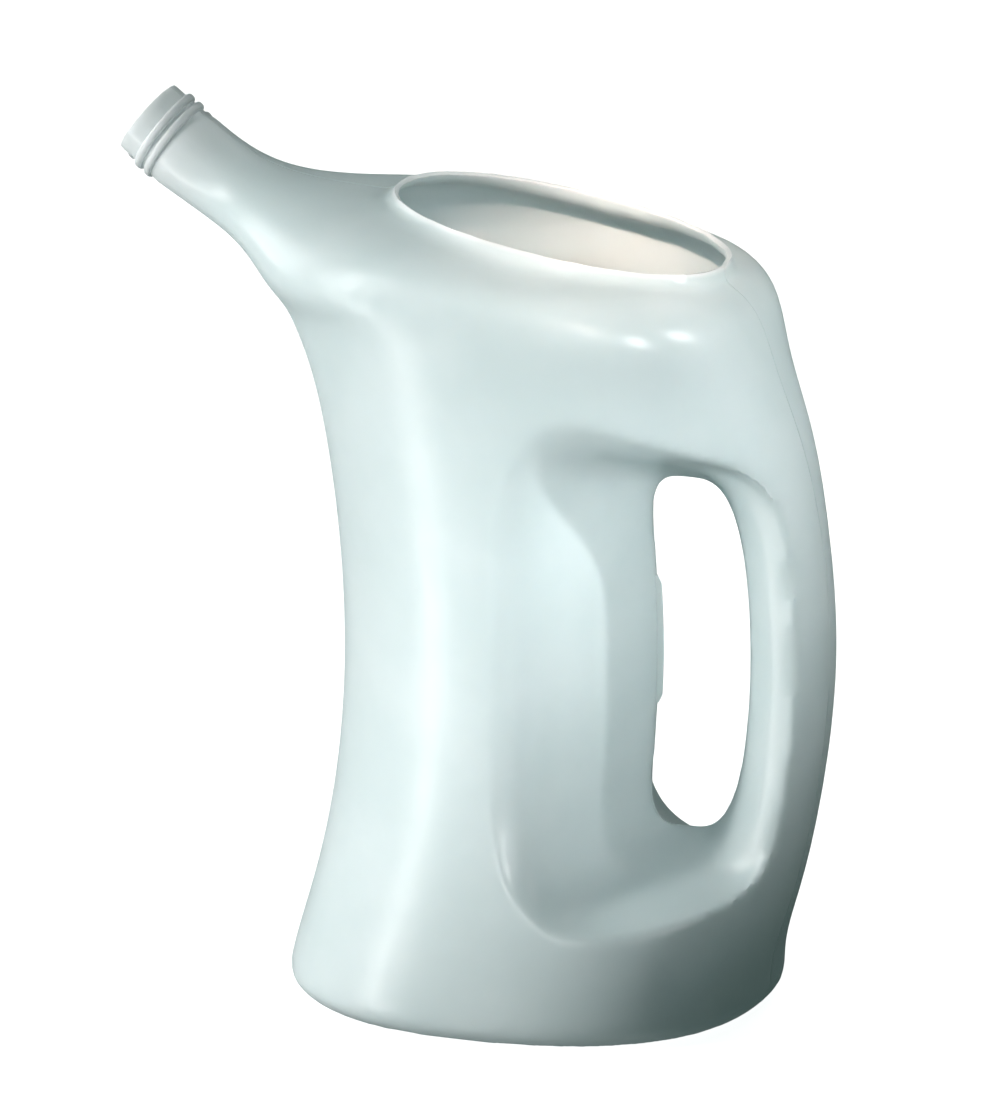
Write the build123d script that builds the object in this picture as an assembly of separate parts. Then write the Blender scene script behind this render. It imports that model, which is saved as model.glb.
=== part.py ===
from build123d import *
import math
import os

# One-piece blow-moulded watering can: a hollow tank, a hollow grip and a spout with a
# screw neck, all one wall. The wall is divided at its natural borders into zones that
# meet face to face. Millimetres, +Z up. The origin is on the standing plane, in the middle
# of the outer box. The spout points to -X, the grip is at +X, and Y = 0 is the parting
# plane of the mould.

# ---- driving dimensions ----------------------------------------------------------------
wall = 1.3

tank_height = 207.0          # standing plane to the middle of the filler lip
base_front = 63.0            # reach of the base from the tank's own axis, to the front
base_back = 65.5
base_half_width = 56.0
base_roll = 9.0              # height over which the base turns under
waist_front = 50.0
waist_half_width = 48.0
grip_back = 81.0             # reach of the grip's back
shoulder_half_width = 50.0
push_up = 4.0                # how far the underside is domed in
standing_ring = 9.0          # width of the ring that the can stands on

lip_middle = 7.5             # the filler mouth: its middle, in X
lip_tilt = 9.7               # degrees down towards the grip
lip_length = 90.5
lip_width = 64.5
lip_wall = 1.2
lip_rise = 3.0               # how far the lip stands above the shoulder
lip_squareness = 2.14

spout_rise = 37.7            # degrees of the neck's axis above the level
neck_root_x = -97.9          # where the neck's axis leaves the spout
neck_root_z = 11.15          # above the middle of the filler lip
neck_diameter = 21.6
neck_length = 12.6
neck_wall = 1.4
neck_cone = 1.6              # length of the step from the spout down to the neck
spout_end_diameter = 22.7
thread_diameter = 23.6
thread_pitch = 3.175
thread_turns = 2.6
thread_start = 3.6           # from the mouth's face to the first turn's middle
thread_root_width = 2.3
thread_crest_width = 0.9
thread_bury = 0.35           # the bead's blank starts this far inside the neck before it is cut back

eye_front = 34.6             # the hand hole at the parting plane
eye_back = 59.3
eye_bottom = 48.7
eye_top = 142.2
eye_bow = 5.0                # how far the hole's two ends lie forward of its middle

lip_round = 0.4              # the small break on the neck's outer rim

grip_front = 46.0            # the grip's zone: behind this, between the next two heights
grip_bottom = 57.0
grip_top = 133.0

SECTION_POINTS = 24
EYE_POINTS = 28
SHOULDER_SECTION = 9         # the section at which the shoulder's zone starts
SPOUT_SECTION = 13           # and the spout's
MOUTH_REACH = 24.0           # how far the mouth's cutter reaches down
BLOCK = 400.0                # larger than the can

# ---- the tank's side view and widths ---------------------------------------------------
neck_axis = Vector(-math.cos(math.radians(spout_rise)), 0, math.sin(math.radians(spout_rise)))
neck_across = Vector(math.sin(math.radians(spout_rise)), 0, math.cos(math.radians(spout_rise)))
neck_root = Vector(neck_root_x, 0, tank_height + neck_root_z)
lip_plane = Plane(
    origin=(lip_middle, 0, tank_height),
    x_dir=(math.cos(math.radians(lip_tilt)), 0, -math.sin(math.radians(lip_tilt))),
    z_dir=(math.sin(math.radians(lip_tilt)), 0, math.cos(math.radians(lip_tilt))),
)


def level(z):
    """A height of the tank, which stretches with the tank's height."""
    return z * tank_height / 207.0


def top_of_shoulder(x):
    """The shoulder's height on the parting plane, one lip rise under the lip."""
    return tank_height - (x - lip_middle) * math.tan(math.radians(lip_tilt)) - lip_rise


def high(z):
    """A height near the top, which keeps its distance to the lip."""
    return tank_height - 207.0 + z


def widths(share):
    """Half width between the waist (0) and the base (1)."""
    return waist_half_width + share * (base_half_width - waist_half_width)


spout_r = spout_end_diameter / 2

# Each section stands square to the parting plane: its front end, its back end, its half
# width, where along its chord it is widest, and the exponents of its front and back.
SECTIONS = [
    ((-base_front + 5, 0), (base_back - 6.5, 0), widths(0.3), 0.46, 2.3, 2.3),
    ((-base_front + 1, base_roll / 3), (base_back - 2, base_roll / 3), widths(0.78), 0.46, 2.3, 2.3),
    ((-base_front, base_roll), (base_back, base_roll), base_half_width, 0.46, 2.3, 2.3),
    ((-base_front + 5.5, level(30)), (base_back + 5, level(30)), widths(0.75), 0.45, 2.2, 2.1),
    ((-waist_front - 2, level(60)), (grip_back - 3.5, level(60)), widths(0.3), 0.45, 2.1, 2.0),
    ((-waist_front, level(95)), (grip_back, level(95)), waist_half_width, 0.45, 2.1, 2.0),
    ((-waist_front - 2.2, level(130)), (grip_back - 2.5, level(130)), waist_half_width, 0.46, 2.1, 2.0),
    ((-waist_front - 5.7, level(153)), (grip_back - 9, level(157)), shoulder_half_width - 1, 0.48, 2.1, 2.2),
    ((-58.7, high(165)), (65, high(176)), shoulder_half_width, 0.52, 2.1, 2.4),
    ((-61.5, high(173)), (58.5, high(190)), shoulder_half_width + 1, 0.55, 2.1, 2.8),
    ((-64.3, high(179.5)), (46, top_of_shoulder(46)), shoulder_half_width + 1, 0.58, 2.1, 3.2),
    ((-67.3, high(185)), (15, top_of_shoulder(15)), shoulder_half_width - 1, 0.60, 2.1, 3.4),
    ((-71.5, high(189.5)), (-26, high(210.6)), shoulder_half_width - 10, 0.60, 2.1, 2.8),
    ((-80.8, high(196.2)), (-58, high(213.2)), 22, 0.52, 2.0, 2.2),
    ((-91.3, high(201.6)), (-75.3, high(217.3)), 13.4, 0.50, 2.0, 2.0),
]


def outlines():
    """Front points, back points and the rest of each section, closed by the spout's round end."""
    rows = [(Vector(f[0], 0, f[1]), Vector(b[0], 0, b[1]), *rest) for f, b, *rest in SECTIONS]
    end = (neck_root - neck_across * spout_r, neck_root + neck_across * spout_r)
    rows.append((*end, spout_r, 0.5, 2.0, 2.0))
    return rows


def closed_spline(points):
    """A smooth closed wire; evenly numbered points keep the lofts through such wires light."""
    steps = [i / len(points) for i in range(len(points) + 1)]
    return Wire([Edge.make_spline(points, periodic=True, parameters=steps)])


def section_wire(front, back, half_width, widest, front_n, back_n):
    """A closed egg on the plane through front and back, square to the parting plane."""
    chord = back - front
    points = []
    for i in range(SECTION_POINTS):
        turn = 2 * math.pi * i / SECTION_POINTS
        c, s = math.cos(turn), math.sin(turn)
        n = front_n if c > 0 else back_n
        reach = (abs(c) ** n + abs(s) ** n) ** (-1 / n)
        share = widest - reach * c * (widest if c > 0 else 1 - widest)
        points.append(front + chord * share + Vector(0, half_width * reach * s, 0))
    return closed_spline(points)


def inset(rows, depth):
    """The same sections moved inwards by depth, square to the side outline."""
    moved = []
    for i, (front, back, half_width, *rest) in enumerate(rows):
        low, up = rows[max(i - 1, 0)], rows[min(i + 1, len(rows) - 1)]
        front_run = (up[0] - low[0]).normalized()
        back_run = (up[1] - low[1]).normalized()
        front_in = front + Vector(front_run.Z, 0, -front_run.X) * depth
        back_in = back - Vector(back_run.Z, 0, -back_run.X) * depth
        moved.append((front_in, back_in, half_width - depth, *rest))
    return moved


def skin(rows):
    """A solid through the sections."""
    return Solid.make_loft([section_wire(*row) for row in rows])


# ---- the scoop around the hand hole ----------------------------------------------------
# At each distance from the parting plane: how far the scoop's edge has moved from the hole's
# edge, to the front, to the back, down and up, and how square its oval is.
SCOOP = [
    (0, 0.0, 0.0, 0.0, 0.0, 4.2),
    (5, 2.4, 1.8, 2.2, 2.2, 4.4),
    (9, 4.7, 4.4, 4.3, 4.2, 4.6),
    (12, 6.2, 7.4, 6.0, 5.6, 4.8),
    (14, 7.2, 11.0, 7.1, 6.5, 4.9),
    (15.2, 7.7, 16.6, 7.7, 7.0, 4.9),
    (16.5, 8.3, 18.4, 8.4, 7.6, 4.9),
    (20, 10.0, 20.0, 10.0, 9.0, 4.9),
    (27, 12.6, 22.0, 12.4, 11.8, 4.8),
    (33, 15.0, 24.0, 14.6, 14.6, 4.4),
    (39, 18.4, 26.0, 16.8, 18.2, 3.8),
    (43, 22.0, 28.0, 18.0, 21.8, 3.3),
    (45.5, 25.8, 29.0, 19.2, 25.2, 3.0),
    (47.2, 29.4, 30.0, 20.2, 28.2, 2.8),
    (60, 31.0, 34.0, 21.5, 30.0, 2.7),
]
WALL_SHARE = 0.7             # of the wall, how far a slanted wall's skin moves along and across


def body_reach(z):
    """How far the body's side stands out at this height, as a share of its waist."""
    body = SECTIONS[: SHOULDER_SECTION + 1]
    stops = [((front[1] + back[1]) / 2, half_width) for front, back, half_width, *rest in body]
    for (low, low_width), (top, top_width) in zip(stops, stops[1:]):
        if z <= top:
            share = max(z - low, 0) / (top - low)
            return (low_width + share * (top_width - low_width)) / waist_half_width
    return stops[-1][1] / waist_half_width


def scoop_wire(y, forward, backward, down, up, squareness, grow):
    """The scoop's outline at y, an oval whose ends lean forward and which follows the body's side."""
    left = eye_front - forward - grow
    right = eye_back + backward + grow
    low = level(eye_bottom) - down - grow
    high_end = level(eye_top) + up + grow
    middle_x, middle_z = (left + right) / 2, (low + high_end) / 2
    half_x, half_z = (right - left) / 2, (high_end - low) / 2
    outermost = abs(y) >= SCOOP[-1][0] - grow
    points = []
    for i in range(EYE_POINTS):
        turn = 2 * math.pi * (i + 0.5) / EYE_POINTS
        c, s = math.cos(turn), math.sin(turn)
        reach = (abs(c) ** squareness + abs(s) ** squareness) ** (-1 / squareness)
        x, z = reach * c * half_x, reach * s * half_z
        bow = eye_bow * (reach * s) ** 2
        side = y if outermost else y * body_reach(middle_z + z)
        points.append(Vector(middle_x + x - bow, side, middle_z + z))
    return closed_spline(points)


def scoop(depth):
    """The scoop on both sides and the hole between them, grown by depth."""
    grow = depth * WALL_SHARE
    half = [(max(y - grow, 0), *rest) for y, *rest in SCOOP]
    far = [(-y, *rest) for y, *rest in reversed(half[1:])]
    return Solid.make_loft([scoop_wire(*row, grow) for row in far + half], ruled=True)


def push_up_dome(rise):
    """The hollow under the base, raised by rise."""
    half_x = (base_front + base_back) / 2 - standing_ring
    half_y = base_half_width - standing_ring
    middle = (base_back - base_front) / 2
    rings = []
    for share, z in ((1.0, rise - wall), (0.93, rise + push_up * 0.6), (0.72, rise + push_up)):
        oval = Edge.make_ellipse(half_x * share, half_y * share)
        rings.append(Wire([oval.locate(Location((middle, 0, z)))]))
    return Solid.make_loft(rings, ruled=True)


# ---- the moulding ----------------------------------------------------------------------
rows = outlines()
outer_skin = skin(rows)
outer = outer_skin - scoop(0) - push_up_dome(0)
inner_rows = inset(rows, wall)
for i, row in enumerate(inner_rows[:2]):
    lift = Vector(0, 0, wall) * (1 - i / 2)
    inner_rows[i] = (row[0] + lift, row[1] + lift, *row[2:])
inner = skin(inner_rows) - scoop(wall) - push_up_dome(wall)
moulding = outer - inner


# ---- the filler mouth ------------------------------------------------------------------
def lip_prism(inset_by, below, above):
    """The mouth's oval, drawn in by inset_by, from below the lip's plane to above it."""
    half_x, half_y = lip_length / 2 - inset_by, lip_width / 2 - inset_by
    points = []
    for i in range(SECTION_POINTS):
        turn = 2 * math.pi * i / SECTION_POINTS
        c, s = math.cos(turn), math.sin(turn)
        reach = (abs(c) ** lip_squareness + abs(s) ** lip_squareness) ** (-1 / lip_squareness)
        points.append(lip_plane.from_local_coords((half_x * reach * c, half_y * reach * s, -below)))
    return Solid.extrude(Face(closed_spline(points)), lip_plane.z_dir * (below + above))


mouth = lip_prism(lip_wall, MOUTH_REACH, lip_rise)
moulding = moulding - mouth
filler_collar = lip_prism(0, MOUTH_REACH / 2, 0) - mouth - outer_skin


# ---- the zones of the wall -------------------------------------------------------------
def half_space(origin, direction):
    """A block that fills everything beyond origin, along direction."""
    plane = Plane(origin=origin, x_dir=(0, 1, 0), z_dir=direction)
    block = Solid.make_box(2 * BLOCK, 2 * BLOCK, BLOCK, plane)
    return block.translate((plane.x_dir + plane.y_dir) * -BLOCK)


spout_front, spout_back = rows[SPOUT_SECTION][0], rows[SPOUT_SECTION][1]
spout_run = spout_back - spout_front
spout_side = half_space(spout_front, Vector(-spout_run.Z, 0, spout_run.X))
shoulder_front, shoulder_back = rows[SHOULDER_SECTION][0], rows[SHOULDER_SECTION][1]
shoulder_run = shoulder_back - shoulder_front
shoulder_side = half_space(shoulder_front, Vector(-shoulder_run.Z, 0, shoulder_run.X))
base_side = half_space(Vector(0, 0, base_roll + wall), Vector(0, 0, -1))
grip_box = Solid.make_box(BLOCK, 2 * BLOCK, level(grip_top) - level(grip_bottom)).translate(
    (grip_front, -BLOCK, level(grip_bottom))
)

spout = moulding & spout_side
rest = moulding - spout_side
shoulder = rest & shoulder_side
rest = rest - shoulder_side
base_pan = rest & base_side
rest = rest - base_side
grip = rest & grip_box
tank_wall = rest - grip_box


# ---- the screw neck --------------------------------------------------------------------
# Built upright from its root, then laid along the neck's axis.
neck_plane = Plane(origin=neck_root, x_dir=neck_across, z_dir=neck_axis)
neck_r = neck_diameter / 2
bore_r = neck_r - neck_wall
root_bore_r = spout_r - wall
profile = [
    (root_bore_r, 0),
    (spout_r, 0),
    (neck_r, neck_cone),
    (neck_r, neck_length - lip_round),
    (neck_r - lip_round, neck_length),
    (bore_r, neck_length),
    (bore_r, neck_cone),
]
neck_upright = Solid.revolve(Face(Wire.make_polygon([Vector(r, 0, z) for r, z in profile])), 360, Axis.Z)

thread_middle = neck_length - thread_start
thread_base = thread_middle - thread_turns * thread_pitch
coil = Edge.make_helix(thread_pitch, thread_turns * thread_pitch, neck_r)
coil = coil.locate(Location((0, 0, thread_base)))
crest = thread_diameter / 2 - neck_r
bead_profile = [
    (-thread_bury, -thread_root_width / 2),
    (0, -thread_root_width / 2),
    (crest, -thread_crest_width / 2),
    (crest, thread_crest_width / 2),
    (0, thread_root_width / 2),
    (-thread_bury, thread_root_width / 2),
]
bead_face = Face(Wire.make_polygon([Vector(neck_r + r, 0, thread_base + z) for r, z in bead_profile]))
bead = Solid.sweep(bead_face, coil, is_frenet=True)
neck_thread = bead - Solid.make_cylinder(neck_r, neck_length)

place = neck_plane.location
pieces = {
    "base_pan": base_pan,
    "tank_wall": tank_wall,
    "grip": grip,
    "shoulder": shoulder,
    "filler_collar": filler_collar,
    "spout": spout,
    "spout_neck": neck_upright.moved(place),
    "neck_thread": neck_thread.moved(place),
}

# ---- place the origin in the middle of the outer box and write the pieces ----------------
box = Compound(children=list(pieces.values())).bounding_box()
shift = Vector(-(box.min.X + box.max.X) / 2, -(box.min.Y + box.max.Y) / 2, -box.min.Z)
print("shift", shift, "size", box.size)
print("neck root", neck_root + shift, "neck axis", neck_axis)
print("lip middle", lip_plane.origin + shift)
os.makedirs("parts", exist_ok=True)
for name, piece in pieces.items():
    print(name, round(piece.volume), len(piece.solids()))
    export_step(Compound(piece.solids()).translate(shift), f"parts/{name}.step")
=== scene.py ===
"""Looks of a one-piece, blow-moulded watering can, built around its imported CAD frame.

The can is one continuous wall: tank, grip, shoulder, filler lip and spout are a single
piece of moulded polyethylene. Its neck carries a screw thread, and the two halves of the
mould leave a parting seam. Sizes inside the classes are millimetres in the can's own
layout, and Layout turns them into the frame's metres.
"""

from __future__ import annotations

import logging
import math
from dataclasses import dataclass
from enum import Enum

import bpy
import numpy as np
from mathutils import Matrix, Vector

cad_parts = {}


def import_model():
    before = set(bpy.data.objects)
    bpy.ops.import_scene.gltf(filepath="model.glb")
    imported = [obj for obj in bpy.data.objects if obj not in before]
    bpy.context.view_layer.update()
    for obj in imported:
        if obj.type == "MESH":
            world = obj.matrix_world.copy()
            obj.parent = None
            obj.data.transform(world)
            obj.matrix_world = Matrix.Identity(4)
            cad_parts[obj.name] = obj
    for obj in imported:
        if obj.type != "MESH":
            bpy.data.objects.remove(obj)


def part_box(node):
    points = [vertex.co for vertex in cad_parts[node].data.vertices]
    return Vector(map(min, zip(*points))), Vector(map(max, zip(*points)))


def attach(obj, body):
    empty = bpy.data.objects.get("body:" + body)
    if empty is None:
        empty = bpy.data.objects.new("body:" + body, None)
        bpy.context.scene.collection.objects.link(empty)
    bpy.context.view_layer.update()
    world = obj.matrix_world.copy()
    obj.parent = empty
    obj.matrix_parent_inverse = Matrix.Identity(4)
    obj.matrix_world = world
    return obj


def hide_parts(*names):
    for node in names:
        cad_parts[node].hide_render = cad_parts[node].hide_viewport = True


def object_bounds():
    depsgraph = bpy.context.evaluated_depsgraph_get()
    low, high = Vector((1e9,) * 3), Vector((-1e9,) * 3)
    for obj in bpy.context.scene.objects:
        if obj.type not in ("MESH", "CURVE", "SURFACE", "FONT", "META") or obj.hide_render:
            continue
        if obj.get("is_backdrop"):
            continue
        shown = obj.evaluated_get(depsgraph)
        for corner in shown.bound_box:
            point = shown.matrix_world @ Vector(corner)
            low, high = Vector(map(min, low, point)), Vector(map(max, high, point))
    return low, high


LOG = logging.getLogger("watering_can")
MM = 0.001
BODY = "root"
WALL_ZONES = ("base_pan", "tank_wall", "grip", "shoulder", "filler_collar", "spout", "spout_neck")
CAMERA_TARGET = (-8.63, -3.23, 118.39)
NECK_LENGTH = 12.6
NECK_RADIUS = 10.8


# ---------------------------------------------------------------------------- small tools
def hex_to_linear(code: str) -> tuple[float, float, float, float]:
    """Turns an sRGB hex colour into linear red, green, blue and alpha.

    Args:
        code: six hex digits, with or without a leading #.

    Returns:
        The linear colour with alpha 1.
    """
    digits = code.lstrip("#")
    values = [int(digits[i : i + 2], 16) / 255 for i in (0, 2, 4)]
    linear = [v / 12.92 if v <= 0.04045 else ((v + 0.055) / 1.055) ** 2.4 for v in values]
    return (linear[0], linear[1], linear[2], 1.0)


def deselect_all() -> None:
    """Leaves object mode with nothing selected."""
    if bpy.context.object and bpy.context.object.mode != "OBJECT":
        bpy.ops.object.mode_set(mode="OBJECT")
    bpy.ops.object.select_all(action="DESELECT")


def pick(obj: bpy.types.Object) -> bpy.types.Object:
    """Makes obj the only selected and the active object.

    Args:
        obj: the object to work on.

    Returns:
        The same object.
    """
    deselect_all()
    obj.select_set(True)
    bpy.context.view_layer.objects.active = obj
    return obj


def apply_modifier(obj: bpy.types.Object, kind: str, **settings: object) -> None:
    """Adds one modifier to obj and applies it.

    Args:
        obj: the object to change.
        kind: Blender's modifier type.
        **settings: the modifier's own properties.
    """
    pick(obj)
    modifier = obj.modifiers.new(kind.title(), kind)
    for name, value in settings.items():
        setattr(modifier, name, value)
    bpy.ops.object.modifier_apply(modifier=modifier.name)


def points_of(obj: bpy.types.Object) -> np.ndarray:
    """Reads a mesh's vertex places.

    Args:
        obj: a mesh object.

    Returns:
        One row of x, y, z per vertex, in metres.
    """
    places = np.zeros(len(obj.data.vertices) * 3)
    obj.data.vertices.foreach_get("co", places)
    return places.reshape(-1, 3)


def move_points(obj: bpy.types.Object, places: np.ndarray) -> None:
    """Writes a mesh's vertex places.

    Args:
        obj: a mesh object.
        places: one row of x, y, z per vertex, in metres.
    """
    obj.data.vertices.foreach_set("co", np.ascontiguousarray(places, dtype=np.float64).ravel())
    obj.data.update()


def sheet_of(name: str, rings: np.ndarray, close_ends: bool = True) -> bpy.types.Object:
    """Lays a grid primitive round a set of rings and closes it to a solid.

    Args:
        name: the new object's name.
        rings: an array of rings, points and x, y, z, in metres.
        close_ends: whether the first and last ring are filled with a face.

    Returns:
        A closed mesh whose faces point outwards.
    """
    ring_count, point_count = rings.shape[:2]
    deselect_all()
    bpy.ops.mesh.primitive_grid_add(x_subdivisions=point_count, y_subdivisions=ring_count - 1, size=1)
    obj = bpy.context.object
    obj.name = obj.data.name = name
    wrapped = np.concatenate([rings, rings[:, :1]], axis=1)
    move_points(obj, wrapped.reshape(-1, 3))
    bpy.ops.object.mode_set(mode="EDIT")
    bpy.ops.mesh.select_mode(type="VERT")
    bpy.ops.mesh.select_all(action="SELECT")
    bpy.ops.mesh.remove_doubles(threshold=1e-6)
    if close_ends:
        bpy.ops.mesh.select_all(action="DESELECT")
        bpy.ops.mesh.select_non_manifold(extend=False)
        bpy.ops.mesh.fill_holes(sides=0)
    bpy.ops.mesh.select_all(action="SELECT")
    bpy.ops.mesh.normals_make_consistent(inside=False)
    bpy.ops.object.mode_set(mode="OBJECT")
    return obj


def select_faces(obj: bpy.types.Object, chosen: np.ndarray) -> None:
    """Enters edit mode with only the chosen faces selected.

    Args:
        obj: a mesh object.
        chosen: one true or false per face.
    """
    pick(obj)
    bpy.ops.object.mode_set(mode="EDIT")
    bpy.ops.mesh.select_mode(type="FACE")
    bpy.ops.mesh.select_all(action="DESELECT")
    bpy.ops.object.mode_set(mode="OBJECT")
    obj.data.polygons.foreach_set("select", chosen)
    bpy.ops.object.mode_set(mode="EDIT")


def face_middles(obj: bpy.types.Object) -> np.ndarray:
    """Reads the middle of each face.

    Args:
        obj: a mesh object.

    Returns:
        One row of x, y, z per face, in metres.
    """
    middles = np.zeros(len(obj.data.polygons) * 3)
    obj.data.polygons.foreach_get("center", middles)
    return middles.reshape(-1, 3)


def smooth_table(table: np.ndarray, at: np.ndarray) -> np.ndarray:
    """Reads a table between its rows along curves that never overshoot.

    Args:
        table: rows that start with their own place, in rising order.
        at: the places to read.

    Returns:
        One row of the remaining columns for each place.
    """
    x, y = table[:, 0], table[:, 1:]
    gaps = np.diff(x)[:, None]
    rise = np.diff(y, axis=0) / gaps
    slope = np.zeros_like(y)
    same = rise[:-1] * rise[1:] > 0
    safe = np.where(same, rise[:-1] + rise[1:], 1.0)
    slope[1:-1] = np.where(same, 2 * rise[:-1] * rise[1:] / safe, 0.0)
    slope[0], slope[-1] = rise[0], rise[-1]
    return hermite(x, y, slope, at)


def natural_spline(x: np.ndarray, y: np.ndarray, at: np.ndarray) -> np.ndarray:
    """Reads a natural cubic spline through every row of y.

    Args:
        x: the rows' places, in rising order.
        y: one row per place.
        at: the places to read.

    Returns:
        One row for each place in at.
    """
    count = len(x)
    gaps = np.diff(x)
    rise = np.diff(y, axis=0) / gaps[:, None]
    left = np.zeros((count, count))
    right = np.zeros_like(y)
    left[0, :2] = (2, 1)
    left[-1, -2:] = (1, 2)
    right[0], right[-1] = 3 * rise[0], 3 * rise[-1]
    for i in range(1, count - 1):
        left[i, i - 1 : i + 2] = (gaps[i], 2 * (gaps[i] + gaps[i - 1]), gaps[i - 1])
        right[i] = 3 * (gaps[i] * rise[i - 1] + gaps[i - 1] * rise[i])
    return hermite(x, y, np.linalg.solve(left, right), at)


def hermite(x: np.ndarray, y: np.ndarray, slope: np.ndarray, at: np.ndarray) -> np.ndarray:
    """Reads piecewise cubics with given slopes.

    Args:
        x: the rows' places, in rising order.
        y: one row per place.
        slope: the slope of y at each place.
        at: the places to read.

    Returns:
        One row for each place in at.
    """
    i = np.clip(np.searchsorted(x, at) - 1, 0, len(x) - 2)
    gap = (x[i + 1] - x[i])[:, None]
    t = ((at - x[i]) / gap[:, 0])[:, None]
    start, end = y[i], y[i + 1]
    out, into = slope[i] * gap, slope[i + 1] * gap
    a, b = 2 * t**3 - 3 * t**2 + 1, t**3 - 2 * t**2 + t
    c, d = 3 * t**2 - 2 * t**3, t**3 - t**2
    return a * start + b * out + c * end + d * into


# ------------------------------------------------------------------------------- layout
@dataclass(frozen=True)
class Layout:
    """Where the can's own layout lies in the frame, and the angles that its parts share.

    Args:
        shift: how far the layout moves along X to stand in the middle of the outer box.
        lip_middle: the filler mouth's middle, in X.
        lip_height: its height above the standing plane.
        lip_tilt: degrees that its plane slopes down towards the grip.
        spout_rise: degrees of the neck's axis above the level.
        neck_root: where the neck's axis leaves the spout, in X and Z.
    """

    shift: float
    lip_middle: float = 7.5
    lip_height: float = 207.0
    lip_tilt: float = 9.7
    spout_rise: float = 37.7
    neck_root: tuple[float, float] = (-97.9, 218.15)

    @staticmethod
    def from_frame() -> "Layout":
        """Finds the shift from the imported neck, whose mouth is the foremost point of the can.

        Returns:
            The layout of this can.
        """
        low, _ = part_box("spout_neck")
        rise = math.radians(Layout.spout_rise)
        front = Layout.neck_root[0] - NECK_LENGTH * math.cos(rise) - NECK_RADIUS * math.sin(rise)
        return Layout(shift=low.x / MM - front)

    def to_frame(self, places: np.ndarray) -> np.ndarray:
        """Turns layout millimetres into frame metres.

        Args:
            places: one point, or rows of points, in layout millimetres.

        Returns:
            The same places in frame metres.
        """
        return (places + np.array([self.shift, 0.0, 0.0])) * MM

    @property
    def neck_axis(self) -> np.ndarray:
        """The neck's direction, out of the can."""
        rise = math.radians(self.spout_rise)
        return np.array([-math.cos(rise), 0.0, math.sin(rise)])

    @property
    def neck_across(self) -> np.ndarray:
        """The upward direction square to the neck's axis, on the parting plane."""
        rise = math.radians(self.spout_rise)
        return np.array([math.sin(rise), 0.0, math.cos(rise)])

    @property
    def root(self) -> np.ndarray:
        """The neck's root as a point."""
        return np.array([self.neck_root[0], 0.0, self.neck_root[1]])

    @property
    def lip_origin(self) -> np.ndarray:
        """The middle of the filler mouth."""
        return np.array([self.lip_middle, 0.0, self.lip_height])

    @property
    def lip_along(self) -> np.ndarray:
        """The direction down the filler mouth's long axis, towards the grip."""
        tilt = math.radians(self.lip_tilt)
        return np.array([math.cos(tilt), 0.0, -math.sin(tilt)])

    @property
    def lip_normal(self) -> np.ndarray:
        """The filler mouth's upward normal."""
        tilt = math.radians(self.lip_tilt)
        return np.array([math.sin(tilt), 0.0, math.cos(tilt)])


def oval(turns: np.ndarray, exponent: np.ndarray | float) -> tuple[np.ndarray, np.ndarray]:
    """A squared circle of radius 1.

    Args:
        turns: angles in radians.
        exponent: 2 for a circle, more for squarer corners.

    Returns:
        The two coordinates of each point.
    """
    c, s = np.cos(turns), np.sin(turns)
    reach = (np.abs(c) ** exponent + np.abs(s) ** exponent) ** (-1 / exponent)
    return reach * c, reach * s


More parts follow.
